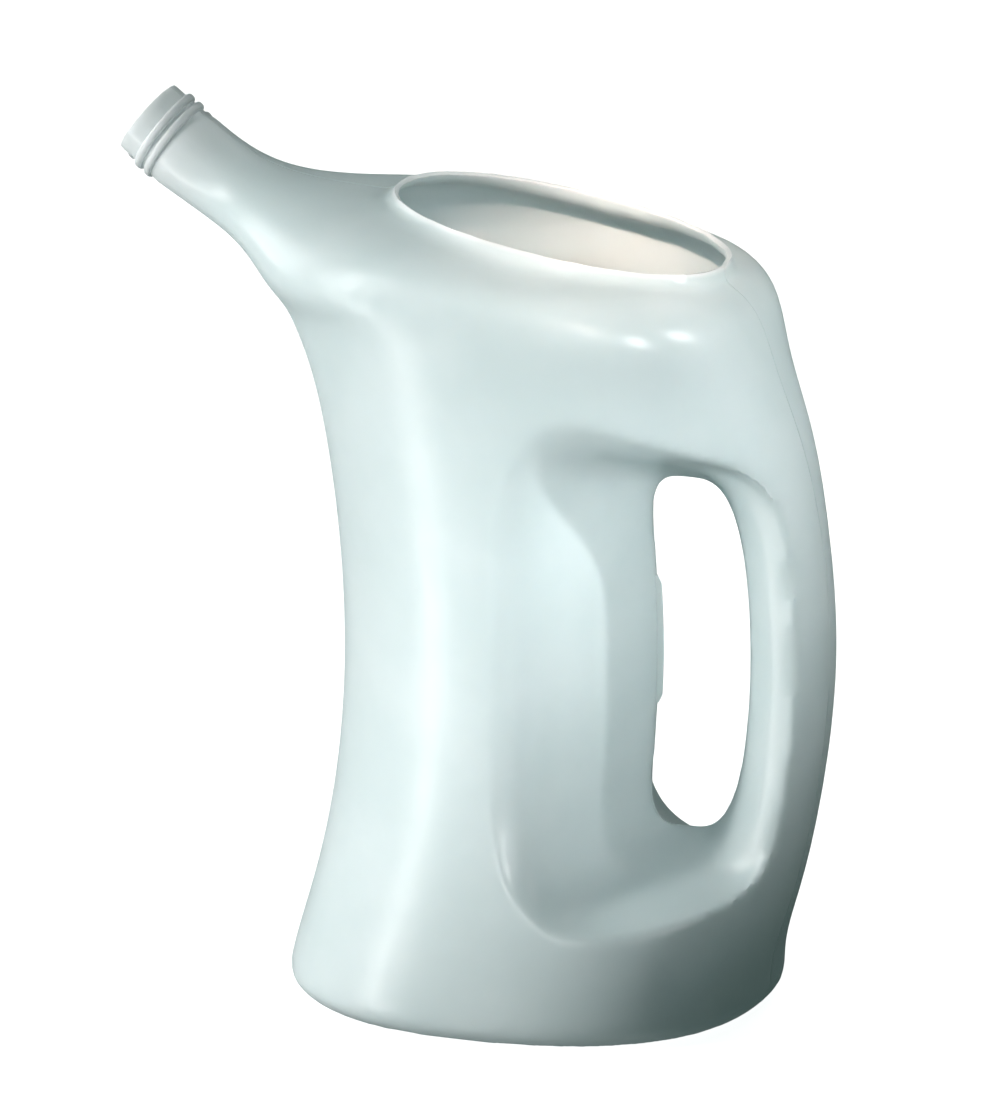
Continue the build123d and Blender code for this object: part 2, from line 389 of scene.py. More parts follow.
# -------------------------------------------------------------------------- the moulding
@dataclass(frozen=True)
class Moulding:
    """The can's one wall: tank, grip, shoulder, filler lip, spout and neck.

    A closed body is lofted through eggs that fan round from the base to the spout. The
    scoop for the hand and the dome under the base are cut from it, the lip is added, and
    the result is remeshed, smoothed, opened at its two mouths and given its wall.

    Args:
        layout: where the can lies in the frame.
        wall: the plastic's thickness.
        grain: the remeshed skin's face size, which keeps it under 200,000 triangles.
        lip_length: the filler mouth along its long axis.
        lip_width: the filler mouth along Y.
        lip_squareness: its oval's exponent.
        spout_radius: the spout's radius where the neck starts.
        neck_radius: the neck's outer radius.
        neck_length: the neck from its root to its mouth.
        neck_step: a ring between the spout and the neck: place along the axis, and radius.
        neck_cone: where the neck reaches its own radius, from its root.
        spare: how far the neck and the lip are built past their mouths, to be cut off.
        eye_front: the hand hole's front edge on the parting plane, in X.
        eye_back: its back edge.
        eye_bottom: its lower end, in Z.
        eye_top: its upper end.
        eye_bow: how far its two ends lie forward of its middle.
        eye_squareness: its oval's exponent.
        waist_half_width: the half width that the scoop's rows are meant for.
        shoulder_height: the back of the highest section that still widens the scoop.
        push_up: half sizes of the ellipsoid that domes the underside.
        push_up_middle: its middle, in X.
        mouth_reach: faces under this share of the lip's oval, squared, may be cut off there.
        sections: the egg-shaped sections from the base to the spout.
        scoop_rows: the scoop's outlines from the parting plane outwards.
    """

    layout: Layout
    wall: float = 1.3
    grain: float = 1.72
    lip_length: float = 90.5
    lip_width: float = 64.5
    lip_squareness: float = 2.14
    spout_radius: float = 11.35
    neck_radius: float = NECK_RADIUS
    neck_length: float = NECK_LENGTH
    neck_step: tuple[float, float] = (0.8, 11.1)
    neck_cone: float = 1.6
    spare: float = 1.6
    eye_front: float = 34.6
    eye_back: float = 59.3
    eye_bottom: float = 48.7
    eye_top: float = 142.2
    eye_bow: float = 5.0
    eye_squareness: float = 4.2
    waist_half_width: float = 48.0
    shoulder_height: float = 190.0
    push_up: tuple[float, float, float] = (53.5, 45.5, 4.4)
    push_up_middle: float = 1.25
    mouth_reach: float = 1.25
    # front x, z; back x, z; half width; where it is widest; front and back exponent
    sections: tuple[tuple[float, ...], ...] = (
        (-58.0, 0.0, 59.0, 0.0, 50.4, 0.46, 2.3, 2.3),
        (-62.0, 3.0, 63.5, 3.0, 54.2, 0.46, 2.3, 2.3),
        (-63.0, 9.0, 65.5, 9.0, 56.0, 0.46, 2.3, 2.3),
        (-57.5, 30.0, 70.5, 30.0, 54.0, 0.45, 2.2, 2.1),
        (-52.0, 60.0, 77.5, 60.0, 50.4, 0.45, 2.1, 2.0),
        (-50.0, 95.0, 81.0, 95.0, 48.0, 0.45, 2.1, 2.0),
        (-52.2, 130.0, 78.5, 130.0, 48.0, 0.46, 2.1, 2.0),
        (-55.7, 153.0, 72.0, 157.0, 49.0, 0.48, 2.1, 2.2),
        (-58.7, 165.0, 65.0, 176.0, 50.0, 0.52, 2.1, 2.4),
        (-61.5, 173.0, 58.5, 190.0, 51.0, 0.55, 2.1, 2.8),
        (-64.3, 179.5, 46.0, 197.4, 51.0, 0.58, 2.1, 3.2),
        (-67.3, 185.0, 15.0, 202.7, 49.0, 0.60, 2.1, 3.4),
        (-71.5, 189.5, -26.0, 210.6, 40.0, 0.60, 2.1, 2.8),
        (-80.8, 196.2, -58.0, 213.2, 22.0, 0.52, 2.0, 2.2),
        (-91.3, 201.6, -75.3, 217.3, 13.4, 0.50, 2.0, 2.0),
    )
    # distance from the parting plane; how far the scoop's edge has moved from the hole's
    # edge there, forward, backward, down and up; how square its oval is
    scoop_rows: tuple[tuple[float, ...], ...] = (
        (0.0, 0.0, 0.0, 0.0, 0.0, 4.2),
        (5.0, 2.4, 1.8, 2.2, 2.2, 4.4),
        (9.0, 4.7, 4.4, 4.3, 4.2, 4.6),
        (12.0, 6.2, 7.4, 6.0, 5.6, 4.8),
        (14.0, 7.2, 11.0, 7.1, 6.5, 4.9),
        (15.2, 7.7, 16.6, 7.7, 7.0, 4.9),
        (16.5, 8.3, 18.4, 8.4, 7.6, 4.9),
        (20.0, 10.0, 20.0, 10.0, 9.0, 4.9),
        (27.0, 12.6, 22.0, 12.4, 11.8, 4.8),
        (33.0, 15.0, 24.0, 14.6, 14.6, 4.4),
        (39.0, 18.4, 26.0, 16.8, 18.2, 3.8),
        (43.0, 22.0, 28.0, 18.0, 21.8, 3.3),
        (45.5, 25.8, 29.0, 19.2, 25.2, 3.0),
        (47.2, 29.4, 30.0, 20.2, 28.2, 2.8),
        (60.0, 31.0, 34.0, 21.5, 30.0, 2.7),
    )

    def spine(self, count: int) -> np.ndarray:
        """Reads the sections' table along the fan, closed by the spout's round end.

        Args:
            count: how many sections to return.

        Returns:
            One row of the table's eight values per section.
        """
        up, root = self.layout.neck_across, self.layout.root
        low, high = root - up * self.spout_radius, root + up * self.spout_radius
        end = (low[0], low[2], high[0], high[2], self.spout_radius, 0.5, 2.0, 2.0)
        table = np.array([*self.sections, end])
        middles = (table[:, :2] + table[:, 2:4]) / 2
        steps = np.linalg.norm(np.diff(middles, axis=0), axis=1)
        way = np.concatenate([[0.0], np.cumsum(steps)])
        return natural_spline(way, table, np.linspace(0, way[-1], count))

    def eggs(self, rows: np.ndarray, points: int) -> np.ndarray:
        """Draws each section as an egg square to the parting plane.

        Args:
            rows: sections as spine gives them.
            points: how many points each egg has.

        Returns:
            An array of sections, points and x, y, z, in layout millimetres.
        """
        turns = np.linspace(0, 2 * math.pi, points, endpoint=False)
        rings = np.zeros((len(rows), points, 3))
        for ring, row in zip(rings, rows):
            front_x, front_z, back_x, back_z, half, widest, front_n, back_n = row
            along, across = oval(turns, np.where(np.cos(turns) > 0, front_n, back_n))
            share = widest - along * np.where(along > 0, widest, 1 - widest)
            ring[:, 0] = front_x + (back_x - front_x) * share
            ring[:, 1] = half * across
            ring[:, 2] = front_z + (back_z - front_z) * share
        return rings

    def neck_rings(self, points: int) -> np.ndarray:
        """Draws the neck's rings, a little past its mouth, turned as the eggs are.

        Args:
            points: how many points each ring has.

        Returns:
            An array of rings, points and x, y, z, in layout millimetres.
        """
        layout = self.layout
        turns = np.linspace(0, 2 * math.pi, points, endpoint=False)
        stops = [self.neck_step, (self.neck_cone, self.neck_radius)]
        ends = np.linspace(self.neck_cone + 1, self.neck_length + self.spare, 12)
        stops += [(float(reach), self.neck_radius) for reach in ends]
        rings = []
        for reach, radius in stops:
            middle = layout.root + layout.neck_axis * reach
            around = np.outer(-np.cos(turns), layout.neck_across) + np.outer(np.sin(turns), [0, 1, 0])
            rings.append(middle + around * radius)
        return np.array(rings)

    def body(self) -> bpy.types.Object:
        """Lofts the closed body from the base to past the neck's mouth.

        Returns:
            The solid body.
        """
        sections, points = 230, 240
        rings = np.concatenate([self.eggs(self.spine(sections), points), self.neck_rings(points)])
        return sheet_of("moulding", self.layout.to_frame(rings))

    def scoop_outline(self, row: np.ndarray, points: int) -> np.ndarray:
        """Draws the scoop's oval at one distance from the parting plane.

        Args:
            row: its signed distance, the edge's moves on its four sides, and its squareness.
            points: how many points the oval has.

        Returns:
            The oval's points in layout millimetres.
        """
        y, forward, backward, down, up, squareness = row
        left, right = self.eye_front - forward, self.eye_back + backward
        low, high = self.eye_bottom - down, self.eye_top + up
        turns = np.linspace(0, 2 * math.pi, points, endpoint=False)
        along, upward = oval(turns, squareness)
        ring = np.zeros((points, 3))
        ring[:, 0] = (left + right) / 2 + along * (right - left) / 2 - self.eye_bow * upward**2
        ring[:, 1] = y
        ring[:, 2] = (low + high) / 2 + upward * (high - low) / 2
        return ring

    def scoop(self) -> bpy.types.Object:
        """Lofts the cutter for the hand hole and the scoops on both sides of it.

        Returns:
            The cutter, which the body's own width widens and narrows.
        """
        table = np.array(self.scoop_rows)
        away = np.concatenate([np.arange(0, 48, 0.6), [49.0, 52.0, 56.0, 60.0]])
        moved = smooth_table(table, away)
        half = np.column_stack([away, moved])
        far = half[:0:-1] * np.array([-1, 1, 1, 1, 1, 1])
        rings = np.array([self.scoop_outline(row, 160) for row in np.concatenate([far, half])])
        body = np.array([row for row in self.sections if row[3] <= self.shoulder_height])
        heights, widths = (body[:, 1] + body[:, 3]) / 2, body[:, 4]
        rings[:, :, 1] *= np.interp(rings[:, :, 2], heights, widths / self.waist_half_width)
        return sheet_of("scoop_cutter", self.layout.to_frame(rings))

    def lip_ring(self, inset: float, height: float, points: int) -> np.ndarray:
        """Draws the filler mouth's oval.

        Args:
            inset: how far it is drawn in.
            height: its height over the lip's plane.
            points: how many points it has.

        Returns:
            The oval's points in layout millimetres.
        """
        layout = self.layout
        along, across = oval(np.linspace(0, 2 * math.pi, points, endpoint=False), self.lip_squareness)
        ring = layout.lip_origin + layout.lip_normal * height
        ring = ring + np.outer(along * (self.lip_length / 2 - inset), layout.lip_along)
        return ring + np.outer(across * (self.lip_width / 2 - inset), [0, 1, 0])

    def lip_plug(self) -> bpy.types.Object:
        """Lofts the solid oval that stands out of the shoulder, for the lip.

        Returns:
            The solid.
        """
        heights = np.linspace(-9, self.spare, 12)
        rings = [self.lip_ring(0.1, float(height), 160) for height in heights]
        return sheet_of("lip_plug", self.layout.to_frame(np.array(rings)))

    def dome(self) -> bpy.types.Object:
        """Makes the cutter for the hollow that is pushed up under the base.

        Returns:
            The cutter.
        """
        deselect_all()
        middle = self.layout.to_frame(np.array([self.push_up_middle, 0.0, 0.0]))
        bpy.ops.mesh.primitive_uv_sphere_add(segments=96, ring_count=48, radius=MM, location=middle)
        cutter = bpy.context.object
        cutter.scale = self.push_up
        bpy.ops.object.transform_apply(location=True, rotation=True, scale=True)
        return cutter

    def join(self, obj: bpy.types.Object, other: bpy.types.Object, how: str) -> None:
        """Adds another solid or cuts with it, and removes it.

        Args:
            obj: the solid to change.
            other: the solid that is used up.
            how: the Boolean's operation.
        """
        apply_modifier(obj, "BOOLEAN", object=other, operation=how, solver="EXACT")
        bpy.data.objects.remove(other)

    def open_at(
        self, obj: bpy.types.Object, origin: np.ndarray, normal: np.ndarray, near: np.ndarray
    ) -> None:
        """Cuts a closed end off along a plane and leaves it open.

        Args:
            obj: the solid.
            origin: a point on the plane, in frame metres.
            normal: the plane's outward normal.
            near: one true or false per face, true on the end that is cut.
        """
        select_faces(obj, near)
        bpy.ops.mesh.bisect(
            plane_co=origin, plane_no=normal, use_fill=False, clear_outer=True, threshold=1e-7
        )
        bpy.ops.object.mode_set(mode="OBJECT")

    def open_mouths(self, obj: bpy.types.Object) -> None:
        """Opens the filler mouth and the neck's mouth.

        Args:
            obj: the solid moulding.
        """
        layout = self.layout
        lip_origin = layout.to_frame(layout.lip_origin)
        mouth = layout.to_frame(layout.root + layout.neck_axis * self.neck_length)
        middles = face_middles(obj)
        height = (middles - lip_origin) @ layout.lip_normal
        along = (middles - lip_origin) @ layout.lip_along / (self.lip_length / 2 * MM)
        across = middles[:, 1] / (self.lip_width / 2 * MM)
        inside = along**2 + across**2 < self.mouth_reach
        self.open_at(obj, lip_origin, layout.lip_normal, inside & (height > -self.spare * MM))
        middles = face_middles(obj)
        reach = (middles - mouth) @ layout.neck_axis
        self.open_at(obj, mouth, layout.neck_axis, reach > -self.spare * MM)

    def build(self) -> bpy.types.Object:
        """Makes the whole moulding.

        Returns:
            The finished mesh.
        """
        obj = self.body()
        self.join(obj, self.scoop(), "DIFFERENCE")
        self.join(obj, self.dome(), "DIFFERENCE")
        self.join(obj, self.lip_plug(), "UNION")
        apply_modifier(obj, "REMESH", mode="VOXEL", voxel_size=self.grain * MM)
        apply_modifier(obj, "SMOOTH", factor=0.5, iterations=6)
        self.open_mouths(obj)
        return obj

    def thicken(self, obj: bpy.types.Object) -> None:
        """Gives the skin its wall, inwards, with the inside on the second material, which is painted with
        the light seen inside the mouth.

        Args:
            obj: the open skin.
        """
        apply_modifier(
            obj, "SOLIDIFY", thickness=self.wall * MM, offset=-1.0, material_offset=1, material_offset_rim=0
        )
        pick(obj)
        bpy.ops.object.shade_smooth_by_angle(angle=math.radians(40))


# ----------------------------------------------------------------------------- finishes
class Zone(Enum):
    """Which face of the wall a finish is for."""

    OUTSIDE = "outside"
    INSIDE = "inside"
    TRIM = "trim"


class NodeTree:
    """A material's nodes, added and linked by one small helper."""

    def __init__(self, tree: bpy.types.NodeTree) -> None:
        """Empties the tree.

        Args:
            tree: a material's or the world's node tree.
        """
        self.tree = tree
        tree.nodes.clear()

    def add(
        self, kind: str, links: dict | None = None, values: dict | None = None, **props: object
    ) -> bpy.types.Node:
        """Adds one node.

        Args:
            kind: the node's type, without ShaderNode.
            links: input names or numbers, and the sockets that feed them.
            values: input names or numbers, and their constants.
            **props: the node's own properties.

        Returns:
            The node.
        """
        node = self.tree.nodes.new(f"ShaderNode{kind}")
        for name, value in props.items():
            setattr(node, name, value)
        for key, value in (values or {}).items():
            node.inputs[key].default_value = value
        for key, socket in (links or {}).items():
            self.tree.links.new(socket, node.inputs[key])
        return node

    def ramp(self, source: bpy.types.NodeSocket, low: float, high: float) -> bpy.types.NodeSocket:
        """Turns source into a smooth 0 to 1.

        Args:
            source: the socket to read.
            low: its value at 0.
            high: its value at 1.

        Returns:
            The new socket.
        """
        node = self.add(
            "MapRange",
            {0: source},
            {1: low, 2: high, 3: 0.0, 4: 1.0},
            interpolation_type="SMOOTHSTEP",
        )
        return node.outputs[0]

    def mix(self, share: object, first: object, second: object) -> bpy.types.NodeSocket:
        """Mixes two colours.

        Args:
            share: how much of the second, a socket or a number.
            first: a socket or an RGBA value.
            second: a socket or an RGBA value.

        Returns:
            The mixed colour's socket.
        """
        node = self.add("Mix", data_type="RGBA")
        for key, item in ((0, share), (6, first), (7, second)):
            if isinstance(item, (tuple, float)):
                node.inputs[key].default_value = item
            else:
                self.tree.links.new(item, node.inputs[key])
        return node.outputs[2]


@dataclass(frozen=True)
class BlownPolyethylene:
    """Natural blow-moulded polyethylene with a pale mint tint, satin and a little clear.

    Args:
        layout: the can's layout, for the zones where the wall is drawn thin and a glow of light is painted
            on it.
        zone: the face of the wall that this finish is for.
        tint: the wall's colour.
        cloud: the slightly deeper colour of the resin's slow clouds.
        thin_wall_glow: the paler colour where the wall is drawn thin, at the neck and the lip, with a
            painted glow of light shining through it.
        roughness: the satin's roughness.
        scatter: how far light travels inside the wall, in mm.
        cloud_size: how large the resin's clouds are, in mm.
        satin_size: how large the satin's patches are, in mm.
        ripple_size: how long the wall's shallow ripples are, in mm.
        grain_size: how large the moulding's fine grain is, in mm.
    """

    layout: Layout
    zone: Zone = Zone.OUTSIDE
    tint: str = "#DAE7E8"
    cloud: str = "#D4E2E3"
    thin_wall_glow: str = "#EAF2F3"
    roughness: float = 0.31
    scatter: float = 2.4
    cloud_size: float = 34.0
    satin_size: float = 7.0
    ripple_size: float = 11.0
    grain_size: float = 0.55

    def noise(
        self, tree: NodeTree, place: bpy.types.NodeSocket, size: float, detail: float
    ) -> bpy.types.NodeSocket:
        """Adds noise.

        Args:
            tree: the material's nodes.
            place: the socket with the place.
            size: how large its features are, in mm.
            detail: how many finer layers it has.

        Returns:
            The noise's socket.
        """
        values = {"Scale": 1 / (size * MM), "Detail": detail}
        return tree.add("TexNoise", {"Vector": place}, values).outputs[0]

    def along(
        self, tree: NodeTree, place: bpy.types.NodeSocket, origin: np.ndarray, direction: np.ndarray
    ) -> bpy.types.NodeSocket:
        """Measures along a direction.

        Args:
            tree: the material's nodes.
            place: the socket with the place.
            origin: where to measure from, in layout millimetres.
            direction: a unit direction.

        Returns:
            The socket with the distance in metres.
        """
        start = tuple(float(v) for v in self.layout.to_frame(origin))
        moved = tree.add("VectorMath", {0: place}, {1: start}, operation="SUBTRACT").outputs[0]
        heading = tuple(float(v) for v in direction)
        return tree.add("VectorMath", {0: moved}, {1: heading}, operation="DOT_PRODUCT").outputs["Value"]

    def thin_wall_glow_share(self, tree: NodeTree, place: bpy.types.NodeSocket) -> bpy.types.NodeSocket:
        """Finds where the wall is drawn thin, for its paler colour and its painted glow of light shining
        through it.

        Args:
            tree: the material's nodes.
            place: the socket with the place.

        Returns:
            A socket that is 0 on the thick wall, and 1 at the neck and on the lip.
        """
        layout = self.layout
        reach = self.along(tree, place, layout.root, layout.neck_axis)
        height = self.along(tree, place, layout.lip_origin, layout.lip_normal)
        neck = tree.ramp(reach, -22 * MM, 4 * MM)
        lip = tree.ramp(height, -1.6 * MM, -0.2 * MM)
        near = tree.ramp(reach, -30 * MM, -34 * MM)
        lip = tree.add("Math", {0: lip, 1: near}, operation="MULTIPLY").outputs[0]
        return tree.add("Math", {0: neck, 1: lip}, operation="MAXIMUM").outputs[0]

    def build(self) -> bpy.types.Material:
        """Makes the material.

        Returns:
            The finished material.
        """
        material = bpy.data.materials.new(f"blown_polyethylene_{self.zone.value}")
        material.use_nodes = True
        tree = NodeTree(material.node_tree)
        place = tree.add("TexCoord").outputs["Object"]
        clouds = tree.ramp(self.noise(tree, place, self.cloud_size, 3.0), 0.35, 0.65)
        colour = tree.mix(clouds, hex_to_linear(self.tint), hex_to_linear(self.cloud))
        # paler colour of the thin neck and lip, with a painted glow of light shining through the thin wall
        colour = tree.mix(self.thin_wall_glow_share(tree, place), colour, hex_to_linear(self.thin_wall_glow))
        satin = tree.add(
            "MapRange",
            {0: self.noise(tree, place, self.satin_size, 4.0)},
            {1: 0.3, 2: 0.7, 3: self.roughness - 0.03, 4: self.roughness + 0.04},
        ).outputs[0]
        ripple = tree.add(
            "Bump",
            {"Height": self.noise(tree, place, self.ripple_size, 1.0)},
            {"Strength": 0.25, "Distance": 0.2 * MM},
        ).outputs[0]
        grain = tree.add(
            "Bump",
            {"Height": self.noise(tree, place, self.grain_size, 1.0), "Normal": ripple},
            {"Strength": 0.25, "Distance": 0.02 * MM},
        ).outputs[0]
        shader = tree.add(
            "BsdfPrincipled",
            {"Base Color": colour, "Roughness": satin, "Normal": grain},
            {
                "IOR": 1.5,
                "Subsurface Weight": 0.7,
                "Subsurface Radius": (1.0, 1.0, 0.95),
                "Subsurface Scale": self.scatter * MM,
            },
        )
        tree.add("OutputMaterial", {"Surface": shader.outputs[0]})
        return material


# --------------------------------------------------------------------------- fine pieces
@dataclass(frozen=True)
class ScrewThread:
    """The bead on the spout's neck, a right-hand helix whose ends run out.

    Args:
        moulding: the can whose neck it is on.
        crest: its height over the neck.
        pitch: its rise in one turn.
        turns: how many turns it makes.
        start: from the neck's mouth to its first turn.
        root_width: its width at the neck.
        sunk: how far it reaches into the neck's wall.
        run_out: the share of its length over which each end fades.
        steps_per_turn: how finely it is drawn.
    """

    moulding: Moulding
    crest: float = 1.0
    pitch: float = 3.175
    turns: float = 2.6
    start: float = 3.6
    root_width: float = 2.3
    sunk: float = 0.3
    run_out: float = 0.11
    steps_per_turn: int = 96

    def profile(self, share: float) -> np.ndarray:
        """Draws the bead's rounded section.

        Args:
            share: the section's size, 1 for a full one.

        Returns:
            Rows of height over the neck and place along its axis.
        """
        turn = np.linspace(0, math.pi, 13)
        width = self.root_width / 2 * (0.55 + 0.45 * share)
        square = np.sign(np.cos(turn)) * np.abs(np.cos(turn)) ** 0.75
        height = self.crest * share * np.abs(np.sin(turn)) ** 0.8
        over = np.column_stack([height, square * width])
        under = np.array([[-self.sunk, -width], [-self.sunk, width]])
        return np.concatenate([over, under])

    def build(self) -> bpy.types.Object:
        """Sweeps the bead round the neck.

        Returns:
            The finished thread.
        """
        layout, neck = self.moulding.layout, self.moulding
        count = int(self.turns * self.steps_per_turn)
        side = np.cross(layout.neck_axis, layout.neck_across)
        rings = []
        for step in range(count + 1):
            share = step / count
            run = min(share, 1 - share) / self.run_out
            rise = math.sin(min(run, 1.0) * math.pi / 2) ** 0.8
            turn = 2 * math.pi * self.turns * share
            out = layout.neck_across * math.cos(turn) + side * math.sin(turn)
            middle = neck.neck_length - self.start - self.turns * self.pitch * (1 - share)
            section = self.profile(max(rise, 0.02))
            ring = layout.root + np.outer(section[:, 0] + neck.neck_radius, out)
            rings.append(ring + np.outer(section[:, 1] + middle, layout.neck_axis))
        obj = sheet_of("neck_thread_bead", layout.to_frame(np.array(rings)))
        pick(obj)
        bpy.ops.object.shade_smooth_by_angle(angle=math.radians(50))
        return obj


@dataclass(frozen=True)
class PartingSeam:
    """The fine bead that the joint between the two mould halves leaves on the parting plane.

    Args:
        skin: the moulding's outer skin, before it gets its wall.
        radius: the bead's radius.
        aside: how far from the plane the skin is cut, so that no vertex lies on the cut.
        merge: points of the outline nearer than this become one.
        smoothings: how often the outline is smoothed.
    """

    skin: bpy.types.Object
    radius: float = 0.12
    aside: float = 0.01
    merge: float = 0.3
    smoothings: int = 4

    def build(self) -> bpy.types.Object:
        """Cuts the skin's outline at the parting plane and gives it a round section.

        Returns:
            The finished bead.
        """
        pick(self.skin)
        bpy.ops.object.duplicate()
        obj = bpy.context.object
        obj.name = obj.data.name = "parting_seam"
        bpy.ops.object.mode_set(mode="EDIT")
        bpy.ops.mesh.select_all(action="SELECT")
        cut = (0.0, self.aside * MM, 0.0)
        bpy.ops.mesh.bisect(
            plane_co=cut, plane_no=(0, 1, 0), clear_inner=True, clear_outer=True, threshold=1e-7
        )
        bpy.ops.mesh.select_all(action="SELECT")
        bpy.ops.mesh.remove_doubles(threshold=self.merge * MM)
        bpy.ops.object.mode_set(mode="OBJECT")
        bpy.ops.object.convert(target="CURVE")
        bpy.ops.object.mode_set(mode="EDIT")
        bpy.ops.curve.select_all(action="SELECT")
        for _ in range(self.smoothings):
            bpy.ops.curve.smooth()
        bpy.ops.object.mode_set(mode="OBJECT")
        obj.data.bevel_depth = self.radius * MM
        obj.data.bevel_resolution = 2
        obj.data.use_fill_caps = True
        bpy.ops.object.convert(target="MESH")
        obj = bpy.context.object
        bpy.ops.object.shade_smooth()
        return obj


@dataclass(frozen=True)
class TrimFlash:
    """The thin rest of trimmed flash on the tank's side of the hand hole.

    Args:
        moulding: the can whose hole it is in.
        bottom: its lower end, in Z.
        top: its upper end.
        reach: how far it stands into the hole.
        thickness: its thickness at the edge.
        end: the length over which each end fades.
        buried: how far it starts inside the wall.
        rounding: how far its two corners lie behind its edge.
    """

    moulding: Moulding
    bottom: float = 81.0
    top: float = 115.5
    reach: float = 1.0
    thickness: float = 0.6
    end: float = 2.2
    buried: float = 1.2
    rounding: float = 0.2

    def build(self) -> bpy.types.Object:
        """Draws the fin up along the hole's front edge.

        Returns:
            The finished fin.
        """
        eye = self.moulding
        middle, half = (eye.eye_bottom + eye.eye_top) / 2, (eye.eye_top - eye.eye_bottom) / 2
        rings = []
        for height in np.linspace(self.bottom, self.top, 60):
            upward = (height - middle) / half
            inset = (1 - abs(upward) ** eye.eye_squareness) ** (1 / eye.eye_squareness)
            centre = (eye.eye_front + eye.eye_back) / 2
            edge = centre - (eye.eye_back - eye.eye_front) / 2 * inset - eye.eye_bow * upward**2
            share = min(height - self.bottom, self.top - height) / self.end
            out = edge + self.reach * min(1.0, share)
            side = self.thickness / 2
            foot = (edge - self.buried, side * 2.2)
            corner = (out - self.rounding, side)
            outline = [(foot[0], -foot[1]), (corner[0], -corner[1]), (out, 0.0), corner, foot]
            rings.append([(x, y, height) for x, y in outline])
        obj = sheet_of("trimmed_flash", eye.layout.to_frame(np.array(rings)))
        pick(obj)
        bpy.ops.object.shade_smooth_by_angle(angle=math.radians(30))
        return obj


# ------------------------------------------------------------------------------- studio
@dataclass(frozen=True)
class SoftBox:
    """One soft box that faces the can.

    Args:
        name: the light's name.
        azimuth: degrees round the can, 0 from -Y and 90 from +X.
        elevation: degrees above the level.
        size: width and height in metres.
        power: watts.
        colour: its colour.
        distance: metres from the can's middle.
    """

    name: str
    azimuth: float
    elevation: float
    size: tuple[float, float]
    power: float
    colour: str = "#FFFFFF"
    distance: float = 1.5


@dataclass(frozen=True)
class SoftSpot:
    """One spot whose edge fades out over the can.

    Args:
        name: the light's name.
        azimuth: degrees round the can, as for a soft box.
        elevation: degrees above the level.
        aim: the place that it lights, in metres.
        cone: degrees across its cone.
        power: watts.
        colour: its colour.
        radius: how large its source is, in metres.
        distance: metres from its aim.
    """

    name: str
    azimuth: float
    elevation: float
    aim: tuple[float, float, float]
    cone: float
    power: float
    colour: str = "#FFFFFF"
    radius: float = 0.08
    distance: float = 2.0


def from_around(azimuth: float, elevation: float) -> Vector:
    """Finds the direction out of the can towards a place round it.

    Args:
        azimuth: degrees round the can, 0 from -Y and 90 from +X.
        elevation: degrees above the level.

    Returns:
        The unit direction.
    """
    a, e = math.radians(azimuth), math.radians(elevation)
    return Vector((math.sin(a) * math.cos(e), -math.cos(a) * math.cos(e), math.sin(e)))


